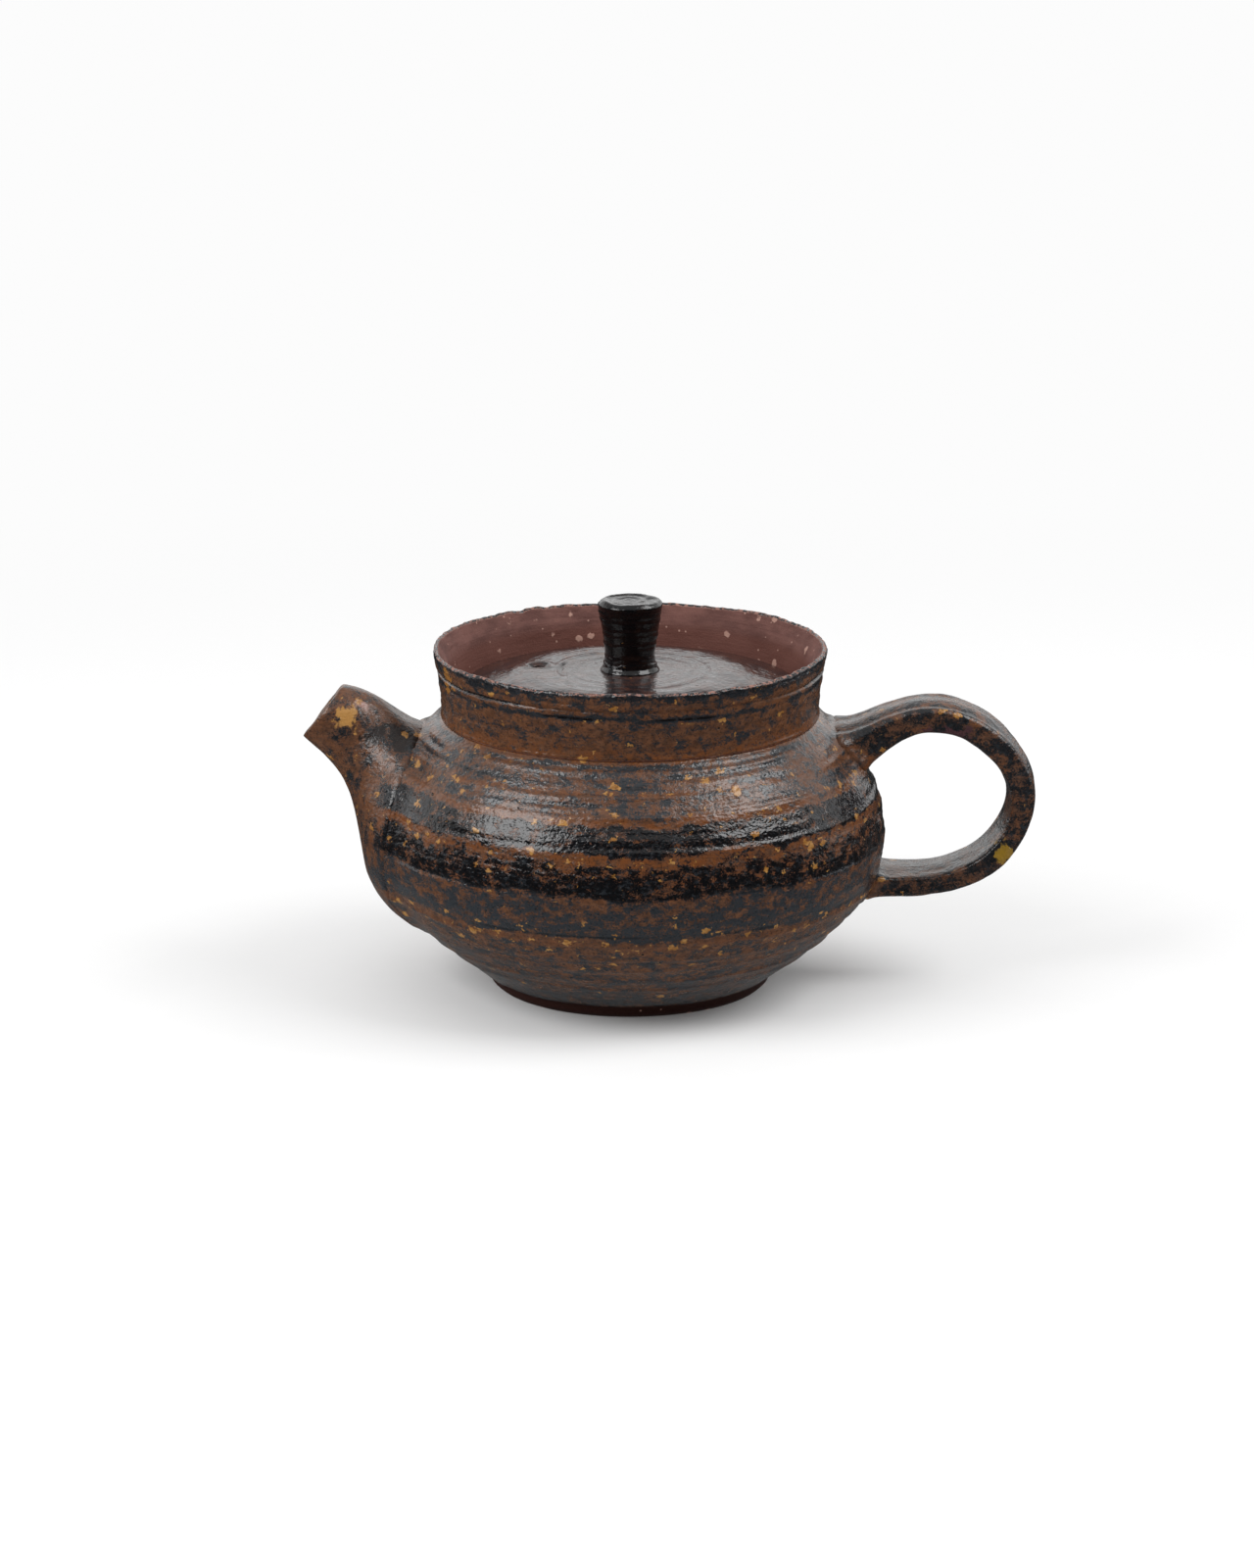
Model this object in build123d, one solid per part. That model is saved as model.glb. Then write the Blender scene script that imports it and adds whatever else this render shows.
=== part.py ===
from build123d import *
import math
import os

# A small wheel-thrown stoneware teapot. The vessel stands on its foot, centred on the Z axis with
# the foot's resting plane at Z 0. The spout points along -X and the loop handle along +X.
# Every length is in millimetres.

# Driving dimensions of the thrown vessel
BELLY_R = 50.0
FOOT_R = 27.0
FOOT_BAND_R = 28.4
FOOT_BAND_Z = 2.4
WALL = 3.3
FLOOR_T = 4.5
FLOOR_R = 16.7
SHOULDER_Z = 53.8
MOUTH_R = 29.5

# The collar above the shoulder, with the inner ledge that carries the lid
COLLAR_WAIST_R = 36.8
COLLAR_BELLY = 0.25
RIM_R = 38.4
RIM_Z = 67.4
RIM_T = 2.3
RIM_ROUND = 1.4
LEDGE_Z = 56.8
LEDGE_R = 33.5
GROOVE_R = 0.35
GROOVE_HEIGHTS = (8.2, 9.7)

# The lid drops onto the ledge and is centred by the flange under it
LID_R = 32.8
LID_EDGE_T = 2.9
LID_CROWN = 2.9
LID_CROWN_R = 18.5
LID_T = 3.0
FLANGE_GAP = 0.6
FLANGE_T = 2.6
FLANGE_DROP = 5.5
STEAM_HOLE_R = 1.35
STEAM_HOLE_AT = 18.3
STEAM_HOLE_ANGLE = 168.0

# The knob on the lid
KNOB_TOP_R = 6.3
KNOB_NECK_R = 5.0
KNOB_FOOT_R = 5.5
KNOB_HEIGHT = 14.0
KNOB_DISH = 0.3

# The spout and the pierced strainer behind it. The spout's mouth is cut a little askew, so that it
# faces slightly towards +Y.
SPOUT_WALL = 2.6
MOUTH_SKEW = 8
WALL_HOLE_R = 10.5
STRAINER_Z = 33.0
STRAINER_R = 14.0
STRAINER_WALL = 2.2
STRAINER_HOLE_R = 1.0
STRAINER_RINGS = 3
STRAINER_RING_STEP = 17.0

# The strap handle
STRAP_WIDTH = 14.2
STRAP_ROUNDING = 0.36


def rising(points, name):
    """The points, once it is sure that they rise, so that a turned wall never folds back."""
    heights = [z for _, z in points]
    if heights != sorted(heights):
        raise ValueError(f"{name} profile must rise")
    return points


# Outer wall of the belly as (radius, height), from the top of the foot band to the shoulder.
# The form is squat: a steep flare, a full belly whose widest zone is low, and a rounded shoulder.
BELLY_LINE = rising(
    [
        (FOOT_BAND_R, FOOT_BAND_Z),
        (0.715 * BELLY_R, 8.2),
        (0.838 * BELLY_R, 13.6),
        (0.934 * BELLY_R, 19.0),
        (0.988 * BELLY_R, 25.0),
        (BELLY_R, 31.0),
        (0.981 * BELLY_R, 37.5),
        (0.927 * BELLY_R, 43.5),
        (0.844 * BELLY_R, 48.8),
        (COLLAR_WAIST_R + 0.3, SHOULDER_Z),
    ],
    "belly",
)

# Each spout section is an ellipse on a plane square to the XZ plane: its top point and its bottom
# point as (distance left of the axis, height), and its half-width across. The planes fan from the
# mouth, which faces up and out, down to the wide root buried in the belly.
SPOUT_SECTIONS = [
    ((56.0, 59.6), (64.0, 49.4), 6.4),
    ((52.0, 58.3), (60.2, 45.8), 7.2),
    ((48.0, 56.1), (56.3, 41.1), 8.6),
    ((44.0, 53.3), (53.8, 34.3), 12.6),
    ((40.0, 49.9), (51.8, 23.5), 18.5),
    ((36.0, 46.2), (46.6, 14.9), 20.0),
    ((32.0, 43.6), (39.0, 10.9), 19.0),
]

# The strap handle's centre line, as (distance right of the axis, height, thickness, width), from
# the root on the shoulder round the loop to the root low on the belly. The strap thins on its way
# round and spreads where it is luted on.
STRAP_LINE = [
    (38.5, 44.2, 11.0, STRAP_WIDTH + 9.0),
    (45.5, 48.8, 7.4, STRAP_WIDTH + 2.4),
    (53.0, 52.8, 5.8, STRAP_WIDTH),
    (60.5, 53.8, 5.4, STRAP_WIDTH),
    (68.4, 50.8, 5.3, STRAP_WIDTH),
    (74.5, 44.4, 5.2, STRAP_WIDTH),
    (76.6, 36.6, 5.1, STRAP_WIDTH),
    (73.6, 28.7, 4.7, STRAP_WIDTH),
    (66.5, 22.7, 4.3, STRAP_WIDTH),
    (57.5, 20.4, 4.1, STRAP_WIDTH),
    (49.5, 20.3, 4.4, STRAP_WIDTH + 1.2),
    (41.0, 20.0, 5.6, STRAP_WIDTH + 6.0),
]


def inset(points, distance):
    """The line of points moved inwards, square to the line, for the inside of a wall."""
    moved = []
    for i, (r, z) in enumerate(points):
        r0, z0 = points[max(i - 1, 0)]
        r1, z1 = points[min(i + 1, len(points) - 1)]
        length = math.hypot(r1 - r0, z1 - z0)
        moved.append((r - distance * (z1 - z0) / length, z + distance * (r1 - r0) / length))
    return moved


def turned(edges):
    """A solid of revolution about Z from a closed outline drawn in the XZ plane."""
    return revolve(make_face(Plane.XZ * Wire(edges)), Axis.Z)


def belly_blank():
    """The belly with no hollow: the outside that the spout and the handle are fitted to."""
    top_r = BELLY_LINE[-1][0]
    return turned(
        [
            Line((0, 0), (FOOT_R, 0)),
            Line((FOOT_R, 0), BELLY_LINE[0]),
            Spline(BELLY_LINE),
            Line((top_r, SHOULDER_Z), (0, SHOULDER_Z)),
            Line((0, SHOULDER_Z), (0, 0)),
        ]
    )


def belly_hollow():
    """The space inside the belly, open upwards through the mouth."""
    floor_end = (FLOOR_R, FLOOR_T)
    mouth_low = (MOUTH_R, SHOULDER_Z - WALL)
    over = SHOULDER_Z + 1.0
    # The inside of the floor curves up into the wall, and the wall closes in to the mouth.
    wall = [p for p in inset(BELLY_LINE, WALL) if p[1] > 1.4 * FLOOR_T and p[0] > MOUTH_R]
    return turned(
        [
            Line((0, FLOOR_T), floor_end),
            Spline([floor_end, *wall[:-1], mouth_low], tangents=[(1, 0.12), (-1, 0.25)]),
            Line(mouth_low, (MOUTH_R, over)),
            Line((MOUTH_R, over), (0, over)),
            Line((0, over), (0, FLOOR_T)),
        ]
    )


def make_body(blank, hollow):
    """The thrown belly: floor, foot, wall and shoulder, with the hole that leads to the spout."""
    through_wall = Rot(0, 90, 0) * Cylinder(WALL_HOLE_R, 0.8 * BELLY_R)
    return blank - hollow - Pos(-BELLY_R, 0, STRAINER_Z) * through_wall


def make_collar():
    """The upright collar ring luted on the shoulder, with two turned grooves and the lid's ledge."""
    rim_in = RIM_R - RIM_T
    shoulder = (COLLAR_WAIST_R, SHOULDER_Z)
    outer_edge = (RIM_R, RIM_Z - RIM_ROUND)
    inner_edge = (rim_in, RIM_Z - RIM_ROUND)
    ring = turned(
        [
            Line((MOUTH_R, SHOULDER_Z), shoulder),
            Spline(shoulder, (COLLAR_WAIST_R + COLLAR_BELLY, SHOULDER_Z + 4.5), outer_edge),
            ThreePointArc(outer_edge, ((RIM_R + rim_in) / 2, RIM_Z), inner_edge),
            Line(inner_edge, (LEDGE_R, LEDGE_Z)),
            Line((LEDGE_R, LEDGE_Z), (MOUTH_R, LEDGE_Z)),
            Line((MOUTH_R, LEDGE_Z), (MOUTH_R, SHOULDER_Z)),
        ]
    )
    for height in GROOVE_HEIGHTS:
        ring -= Pos(0, 0, SHOULDER_Z + height) * Torus(RIM_R - 0.5, GROOVE_R)
    return ring


def lid_edge():
    """The outline of the lid's rim, from its underside out and up to the start of the dome."""
    edge_top = LEDGE_Z + LID_EDGE_T
    corners = [
        (MOUTH_R - FLANGE_GAP, LEDGE_Z),
        (LID_R - 0.4, LEDGE_Z),
        (LID_R, LEDGE_Z + 0.5),
        (LID_R, edge_top - 0.7),
        (LID_R - 0.9, edge_top),
    ]
    return [Line(a, b) for a, b in zip(corners, corners[1:])]


def make_lid():
    """The low domed lid: a disc with a steam hole and a centring flange underneath."""
    edge_top = LEDGE_Z + LID_EDGE_T
    crown = edge_top + LID_CROWN
    under = crown - LID_T
    flange_r = MOUTH_R - FLANGE_GAP
    flange_in = flange_r - FLANGE_T
    flange_z = LEDGE_Z - FLANGE_DROP
    dome = Spline(
        (LID_R - 0.9, edge_top),
        (0.78 * LID_R, edge_top + 0.52 * LID_CROWN),
        (LID_CROWN_R, crown),
        tangents=[(-1, 0.25), (-1, 0.02)],
    )
    lid = turned(
        [
            Line((flange_in, flange_z), (flange_r, flange_z)),
            Line((flange_r, flange_z), (flange_r, LEDGE_Z)),
            *lid_edge(),
            dome,
            Line((LID_CROWN_R, crown), (0, crown)),
            Line((0, crown), (0, under)),
            Line((0, under), (LID_CROWN_R, under)),
            Line((LID_CROWN_R, under), (flange_in, LEDGE_Z + 0.4)),
            Line((flange_in, LEDGE_Z + 0.4), (flange_in, flange_z)),
        ]
    )
    hole = Rot(0, 0, STEAM_HOLE_ANGLE) * Pos(STEAM_HOLE_AT, 0, crown)
    return lid - hole * Cylinder(STEAM_HOLE_R, 4 * LID_T)


def make_knob():
    """The flared knob, narrow at its neck and dished a little on top."""
    base = LEDGE_Z + LID_EDGE_T + LID_CROWN
    top = base + KNOB_HEIGHT
    side_top = (KNOB_TOP_R, top - 1.3)
    flat_start = (KNOB_TOP_R - 1.2, top)
    side = Spline(
        (KNOB_FOOT_R, base),
        (KNOB_NECK_R, base + 1.8),
        (KNOB_NECK_R + 0.35, base + 0.5 * KNOB_HEIGHT),
        (KNOB_TOP_R - 0.15, top - 2.2),
        side_top,
    )
    return turned(
        [
            Line((0, base), (KNOB_FOOT_R, base)),
            side,
            ThreePointArc(side_top, (KNOB_TOP_R - 0.35, top - 0.38), flat_start),
            Spline(flat_start, (0.5 * KNOB_TOP_R, top - 0.8 * KNOB_DISH), (0, top - KNOB_DISH)),
            Line((0, top - KNOB_DISH), (0, base)),
        ]
    )


def section_plane(top, bottom):
    """A plane through a spout section, and half the section's height."""
    centre = Vector(-(top[0] + bottom[0]) / 2, 0, (top[1] + bottom[1]) / 2)
    up = Vector(bottom[0] - top[0], 0, top[1] - bottom[1])
    return Plane(origin=centre, x_dir=up.normalized(), z_dir=up.cross(Vector(0, 1, 0))), up.length / 2


def mouth_section(inside):
    """The spout's first section, turned askew about its upright."""
    top, bottom, half_width = SPOUT_SECTIONS[0]
    plane, half_height = section_plane(top, bottom)
    return plane.rotated((-MOUTH_SKEW, 0, 0)) * Ellipse(half_height - inside, half_width - inside)


def spout_form(inside):
    """The spout's outside, or its bore if inside is the wall thickness."""
    faces = [mouth_section(inside)]
    for top, bottom, half_width in SPOUT_SECTIONS[1:]:
        plane, half_height = section_plane(top, bottom)
        faces.append(plane * Ellipse(half_height - inside, half_width - inside))
    return loft(faces)


def make_spout(blank):
    """The thrown spout, fitted to the belly, with its bore running out through the mouth."""
    mouth = extrude(mouth_section(SPOUT_WALL), SPOUT_WALL, both=True)
    return spout_form(0) - spout_form(SPOUT_WALL) - mouth - blank


def inner_radius(height):
    """The inside radius of the belly at a height, read off the wall's outline."""
    line = inset(BELLY_LINE, WALL)
    for (r0, z0), (r1, z1) in zip(line, line[1:]):
        if z0 <= height <= z1:
            return r0 + (r1 - r0) * (height - z0) / (z1 - z0)
    raise ValueError("the height is above or below the belly")


def make_strainer(hollow):
    """The pierced dome luted over the wall hole, inside the belly."""
    centre = Pos(-inner_radius(STRAINER_Z), 0, STRAINER_Z)
    dome = centre * (Sphere(STRAINER_R) - Sphere(STRAINER_R - STRAINER_WALL))
    drill = Pos(0, 0, STRAINER_R) * Cylinder(STRAINER_HOLE_R, 3 * STRAINER_WALL)
    tools = [centre * Rot(0, 90, 0) * drill]
    for ring in range(1, STRAINER_RINGS + 1):
        tilt = Rot(0, 90 - STRAINER_RING_STEP * ring, 0)
        count = 6 * ring
        for i in range(count):
            tools.append(centre * Rot(360 * i / count, 0, 0) * tilt * drill)
    return (dome & hollow) - tools


def make_handle(blank, collar):
    """The pulled strap handle, luted to the shoulder and to the lower belly."""
    faces = []
    last = len(STRAP_LINE) - 1
    for i, (x, z, thickness, width) in enumerate(STRAP_LINE):
        x0, z0 = STRAP_LINE[max(i - 1, 0)][:2]
        x1, z1 = STRAP_LINE[min(i + 1, last)][:2]
        along = Vector(x1 - x0, 0, z1 - z0)
        plane = Plane(origin=(x, 0, z), x_dir=(0, 1, 0), z_dir=along)
        faces.append(plane * RectangleRounded(width, thickness, STRAP_ROUNDING * thickness))
    return loft(faces) - blank - collar


def main():
    blank = belly_blank()
    hollow = belly_hollow()
    collar = make_collar()
    nodes = {
        "body": make_body(blank, hollow),
        "neck_collar": collar,
        "spout": make_spout(blank),
        "handle": make_handle(blank, collar),
        "strainer": make_strainer(hollow),
        "lid": make_lid(),
        "lid_knob": make_knob(),
    }
    os.makedirs("parts", exist_ok=True)
    for name, shape in nodes.items():
        export_step(shape, f"parts/{name}.step")


main()
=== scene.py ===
import math

import bmesh
import bpy
import numpy as np
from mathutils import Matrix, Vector
from mathutils.bvhtree import BVHTree


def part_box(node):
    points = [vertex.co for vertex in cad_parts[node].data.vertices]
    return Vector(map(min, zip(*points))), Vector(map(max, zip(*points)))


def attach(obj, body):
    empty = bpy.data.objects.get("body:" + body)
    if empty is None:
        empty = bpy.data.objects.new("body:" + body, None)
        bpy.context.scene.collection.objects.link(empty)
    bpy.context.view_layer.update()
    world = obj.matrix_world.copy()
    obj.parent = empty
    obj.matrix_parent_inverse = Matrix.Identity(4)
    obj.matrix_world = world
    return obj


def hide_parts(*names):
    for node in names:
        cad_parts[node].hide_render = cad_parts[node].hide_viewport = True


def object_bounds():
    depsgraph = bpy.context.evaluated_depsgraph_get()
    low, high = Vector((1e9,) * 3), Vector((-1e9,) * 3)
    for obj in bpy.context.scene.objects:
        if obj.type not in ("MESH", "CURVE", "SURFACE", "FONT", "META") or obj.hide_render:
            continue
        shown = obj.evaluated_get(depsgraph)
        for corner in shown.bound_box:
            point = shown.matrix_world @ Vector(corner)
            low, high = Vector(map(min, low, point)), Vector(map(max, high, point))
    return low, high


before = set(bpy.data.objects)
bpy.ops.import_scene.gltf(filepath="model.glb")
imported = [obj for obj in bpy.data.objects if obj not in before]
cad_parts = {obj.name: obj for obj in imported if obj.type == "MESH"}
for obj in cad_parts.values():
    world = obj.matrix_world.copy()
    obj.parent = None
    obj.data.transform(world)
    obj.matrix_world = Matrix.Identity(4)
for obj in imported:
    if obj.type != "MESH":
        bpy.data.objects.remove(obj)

# A small wheel-thrown teapot under an iron glaze, built round its CAD parts.
# Shapes are worked in millimetres and written to the meshes in metres.
MM = 0.001
TAU = 2 * math.pi
CAD_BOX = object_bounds()
CENTRE = (CAD_BOX[0] + CAD_BOX[1]) / 2

# Mesh fineness, in millimetres along the clay and in steps round a turned piece
STEP_FINE = 0.42
STEP_COARSE = 1.2
ROUND_BODY = 384
ROUND_COLLAR = 480
ROUND_LID = 384
ROUND_KNOB = 160
VOXEL = 0.42

# Marks of the thrower's fingers on the belly: (height, rise, half-width) of each turned ridge
BELLY_RIDGES = [
    (8.6, 0.22, 0.45),
    (11.4, 0.26, 0.45),
    (14.8, 0.24, 0.45),
    (17.6, 0.18, 0.5),
    (21.2, 0.34, 0.5),
    (25.6, 0.12, 0.7),
    (30.2, 0.22, 0.5),
    (33.4, 0.12, 0.6),
    (39.4, 0.26, 0.5),
    (41.6, 0.14, 0.5),
    (45.4, 0.34, 0.4),
    (46.9, 0.14, 0.35),
    (48.6, 0.30, 0.35),
    (50.6, 0.20, 0.35),
    (52.5, 0.24, 0.3),
]

# Thin lines scored round the belly and the collar: (height, depth). Glaze pools dark in them, and that
# darkening also carries painted shade for the grooves.
BELLY_LINES = [
    (12.7, 0.12),
    (16.2, 0.10),
    (22.6, 0.16),
    (30.6, 0.14),
    (46.9, 0.16),
    (49.8, 0.20),
    (51.4, 0.14),
    (53.0, 0.16),
]
COLLAR_LINES = [(58.2, 0.08), (62.0, 0.30), (63.5, 0.26), (65.3, 0.10)]
BELLY_LINE_SEED = 180
COLLAR_LINE_SEED = 210
LINE_FULL = 0.2


# ---- reading the frame

def cad_tree(node):
    """A CAD node's surface, in millimetres, for measuring."""
    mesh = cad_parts[node].data
    points = [v.co / MM for v in mesh.vertices]
    return BVHTree.FromPolygons(points, [tuple(p.vertices) for p in mesh.polygons])


# Turned walls are measured along this direction, where nothing is cut through them.
PROBE_ANGLE = math.radians(83)
PROBE = Vector((math.cos(PROBE_ANGLE), math.sin(PROBE_ANGLE), 0))
FAR = 200.0


def wall_radius(tree, z, inside=False):
    """Radius of a turned wall at height z, seen from the axis or from outside."""
    start = Vector((0, 0, z)) if inside else PROBE * FAR + Vector((0, 0, z))
    hit = tree.ray_cast(start, PROBE if inside else -PROBE)[0]
    return math.hypot(hit.x, hit.y)


def surface_height(tree, radius, above=True):
    """Height of a turned piece's top or underside at a radius."""
    start = PROBE * radius + Vector((0, 0, FAR if above else -FAR))
    return tree.ray_cast(start, Vector((0, 0, -1 if above else 1)))[0].z


def resample(points, step):
    """The same polyline as (radius, height), with points every step millimetres."""
    points = np.array(points, float)
    run = np.concatenate([[0], np.cumsum(np.hypot(*np.diff(points, axis=0).T))])
    count = max(2, int(round(run[-1] / step)) + 1)
    at = np.linspace(0, run[-1], count)
    return np.stack([np.interp(at, run, points[:, 0]), np.interp(at, run, points[:, 1])], 1)


def joined(*runs):
    """One outline from runs of (points, step), each starting where the last one stops, and the count
    of its points up to each run's end."""
    parts = [resample(points, step)[min(k, 1) :] for k, (points, step) in enumerate(runs)]
    return np.concatenate(parts), np.cumsum([len(part) for part in parts])


def box_mm(node):
    """Lowest and highest corners of a CAD node, in millimetres."""
    low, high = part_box(node)
    return low / MM, high / MM


# ---- noise

def lattice(ix, iy, iz, seed):
    """A fixed scatter of numbers between -1 and 1, one at each whole-number point of space."""
    h = (ix * 73856093) ^ (iy * 19349663) ^ (iz * 83492791) ^ (seed * 26544357)
    h = ((h ^ (h >> 15)) * 2246822519) & 0xFFFFFFFF
    h = ((h ^ (h >> 13)) * 3266489917) & 0xFFFFFFFF
    return ((h ^ (h >> 16)) & 0xFFFF) / 32767.5 - 1


def noise(points, size, seed):
    """Smooth noise from -1 to 1, with features about size millimetres across. Each use has its seed."""
    p = points / np.asarray(size, float)
    cell = np.floor(p).astype(np.int64)
    f = p - cell
    u = (f * f * f * (f * (f * 6 - 15) + 10)).T
    weights = (1 - u, u)
    total = np.zeros(len(points))
    for dx, dy, dz in np.ndindex(2, 2, 2):
        weight = weights[dx][0] * weights[dy][1] * weights[dz][2]
        total += weight * lattice(*(cell + (dx, dy, dz)).T, seed)
    return total


def smoothstep(x, low, high):
    t = np.clip((x - low) / (high - low), 0, 1)
    return t * t * (3 - 2 * t)


def bump(x, centre, half_width):
    return np.exp(-(((x - centre) / half_width) ** 2))


# ---- turned pieces

class Turned:
    """A piece thrown on the wheel: an outline of (radius, height) carried round the axis as a grid."""

    def __init__(self, outline, steps, closed=False):
        self.steps = steps
        self.closed = closed
        ahead = np.roll(outline, -1, 0)
        behind = np.roll(outline, 1, 0)
        if not closed:
            ahead[-1] = outline[-1]
            behind[0] = outline[0]
        run = ahead - behind
        length = np.maximum(np.hypot(run[:, 0], run[:, 1]), 1e-9)
        normal = np.stack([run[:, 1], -run[:, 0]], 1) / length[:, None]
        self.ring = len(outline)
        self.r = np.repeat(outline[:, 0], steps)
        self.z = np.repeat(outline[:, 1], steps)
        self.nr = np.repeat(normal[:, 0], steps)
        self.nz = np.repeat(normal[:, 1], steps)
        self.t = np.tile(np.arange(steps) * TAU / steps, self.ring)

    def points(self):
        return np.stack([self.r * np.cos(self.t), self.r * np.sin(self.t), self.z], 1)

    def push(self, distance):
        """Moves every point along the outline's outward normal."""
        self.r = np.maximum(self.r + distance * self.nr, 0)
        self.z = self.z + distance * self.nz

    def build(self, name):
        verts = self.points().reshape(self.ring, self.steps, 3)
        if not self.closed:
            verts[0] = verts[0].mean(0)
            verts[-1] = verts[-1].mean(0)
        index = np.arange(self.ring * self.steps).reshape(self.ring, self.steps)
        rows = self.ring if self.closed else self.ring - 1
        a = index[np.arange(rows) % self.ring]
        b = index[(np.arange(rows) + 1) % self.ring]
        quads = np.stack([a, np.roll(a, -1, 1), np.roll(b, -1, 1), b], -1).reshape(-1, 4)
        mesh = bpy.data.meshes.new(name)
        mesh.from_pydata((verts.reshape(-1, 3) * MM).tolist(), [], quads.tolist())
        return finish_mesh(mesh)


def finish_mesh(mesh):
    """Welds the poles, makes the faces point outwards and shades them smooth."""
    bm = bmesh.new()
    bm.from_mesh(mesh)
    bmesh.ops.remove_doubles(bm, verts=bm.verts, dist=1e-7)
    bmesh.ops.dissolve_degenerate(bm, dist=1e-8, edges=bm.edges)
    bmesh.ops.recalc_face_normals(bm, faces=bm.faces)
    bm.to_mesh(mesh)
    bm.free()
    mesh.shade_smooth()
    return mesh


def in_scene(name, data):
    """A new object, linked to the scene."""
    obj = bpy.data.objects.new(name, data)
    bpy.context.scene.collection.objects.link(obj)
    return obj


def aim(obj, direction):
    """Turns an object's own Z axis along a direction."""
    obj.rotation_mode = "QUATERNION"
    obj.rotation_quaternion = direction.to_track_quat("Z", "Y")


def add_piece(name, mesh, body, node, material):
    """Puts a finished mesh in the scene in place of a CAD node, on that node's body."""
    piece = in_scene(name, mesh)
    mesh.materials.clear()
    mesh.materials.append(material)
    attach(piece, body)
    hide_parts(node)


def coordinates(mesh):
    co = np.zeros(len(mesh.vertices) * 3)
    mesh.vertices.foreach_get("co", co)
    return co.reshape(-1, 3) / MM


def write_coordinates(mesh, points):
    mesh.vertices.foreach_set("co", (points * MM).ravel())
    mesh.update()


def mark(mesh, name, values):
    """Stores a number at each point of a mesh, for its material."""
    layer = mesh.attributes.get(name) or mesh.attributes.new(name, "FLOAT", "POINT")
    layer.data.foreach_set("value", np.asarray(values, np.float32))


HOLE_SIDES = 40


def cut(mesh, radius, centre, direction, length):
    """Cuts a round hole through a mesh."""
    target = in_scene("cut_target", mesh)
    bm = bmesh.new()
    size = {"radius1": radius * MM, "radius2": radius * MM, "depth": length * MM}
    bmesh.ops.create_cone(bm, cap_ends=True, segments=HOLE_SIDES, **size)
    tool_mesh = bpy.data.meshes.new("cut_tool")
    bm.to_mesh(tool_mesh)
    bm.free()
    tool = in_scene("cut_tool", tool_mesh)
    aim(tool, Vector(direction))
    tool.location = Vector(centre) * MM
    boolean = target.modifiers.new("hole", "BOOLEAN")
    boolean.operation = "DIFFERENCE"
    boolean.solver = "EXACT"
    boolean.object = tool
    result = applied(target)
    bpy.data.objects.remove(tool)
    bpy.data.objects.remove(target)
    return result


def applied(obj):
    """The object's mesh with its modifiers applied."""
    bpy.context.view_layer.update()
    graph = bpy.context.evaluated_depsgraph_get()
    return bpy.data.meshes.new_from_object(obj.evaluated_get(graph))


# ---- the thrown belly

FOOT_BAND = 2.5
FOOT_STEP = 0.35
# The smear of slip below the handle
SMEAR_Y = -1.5
SMEAR_Z = 15.4
SMEAR_WIDTH = 5.0
SMEAR_HEIGHT = 1.5
# The hole behind the spout, and how far out its middle lies
WALL_HOLE_RADIUS = 10.5
WALL_HOLE_OUT = 45
WALL_HOLE_LENGTH = 30


def belly_outline(tree):
    """Outline from the middle of the foot, up the outside, in at the mouth and down inside."""
    top = box_mm("body")[1].z
    foot_r = wall_radius(tree, 0.05)
    top_r = wall_radius(tree, top - 0.05)
    mouth_r = wall_radius(tree, top - 0.5, inside=True)
    wall = [(wall_radius(tree, z), z) for z in np.arange(0.9, top - 0.45, 0.15)]
    inner = [(wall_radius(tree, z, inside=True), z) for z in np.arange(top - 0.6, 5.2, -0.3)]
    floor_z = surface_height(tree, 2.0)
    under = [(0, 0), (foot_r - 1.0, 0)]
    corner = [(foot_r - 1.0, 0), (foot_r - 0.35, 0.12), wall[0]]
    shoulder = [wall[-1], (top_r - 0.1, top - 0.22), (top_r - 0.5, top)]
    across = [(top_r - 0.5, top), (mouth_r, top)]
    down = [(mouth_r, top), *inner]
    floor = [inner[-1], (inner[-1][0] - 1.6, floor_z + 0.1), (0, floor_z)]
    outside = [(under, 2.0), (corner, 0.3), (wall, STEP_FINE), (shoulder, 0.2)]
    outline, ends = joined(*outside, (across, 1.5), (down, STEP_COARSE), (floor, 1.6))
    return outline, ends[3]


def throwing(z, t, points, ridges, seed):
    """Height of the turned ridges, in millimetres: each one wavers and fades on its way round."""
    wander = 0.45 * noise(points, (22, 22, 60), seed) + 0.25 * np.sin(t + 0.8)
    total = np.zeros(len(z))
    for k, (height, rise, half) in enumerate(ridges):
        strength = 0.75 + 0.5 * noise(points, (14, 14, 200), seed + 31 + k)
        above = z - (height + wander)
        edge = np.where(above > 0, half * 0.55, half * 2.2)
        total += rise * strength * np.exp(-((above / edge) ** 2))
    fine = np.sin(TAU * (z + wander) / 1.15 - t) * (0.5 + 0.5 * noise(points, (9, 9, 5), seed + 3))
    return total + 0.055 * fine


def scored(z, points, lines, half, seed):
    """Depth of thin lines cut while the pot turned: each wavers, fades and comes back on its way."""
    total = np.zeros(len(z))
    for k, (height, depth) in enumerate(lines):
        waver = 0.35 * noise(points, (17, 17, 90), seed + 2 * k)
        strength = smoothstep(noise(points, (11, 11, 90), seed + 2 * k + 1), -0.40, 0.30)
        total += depth * strength * bump(z + waver, height, half)
    return total


def root_marks(p, outside):
    """Slip left round the roots of spout and handle, and smeared down on to the wall below the handle."""
    slip = 1.2 * closeness("spout", p, 4.5) ** 2 + 0.6 * closeness("handle", p, 2.6) ** 2
    across = (p[:, 1] - SMEAR_Y) / SMEAR_WIDTH
    down = (p[:, 2] - SMEAR_Z) / SMEAR_HEIGHT
    smear = np.exp(-(across**2) - down**2) * (p[:, 0] > 0)
    return slip * outside + smear * (0.75 + 0.35 * noise(p, 1.6, 9))


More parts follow.
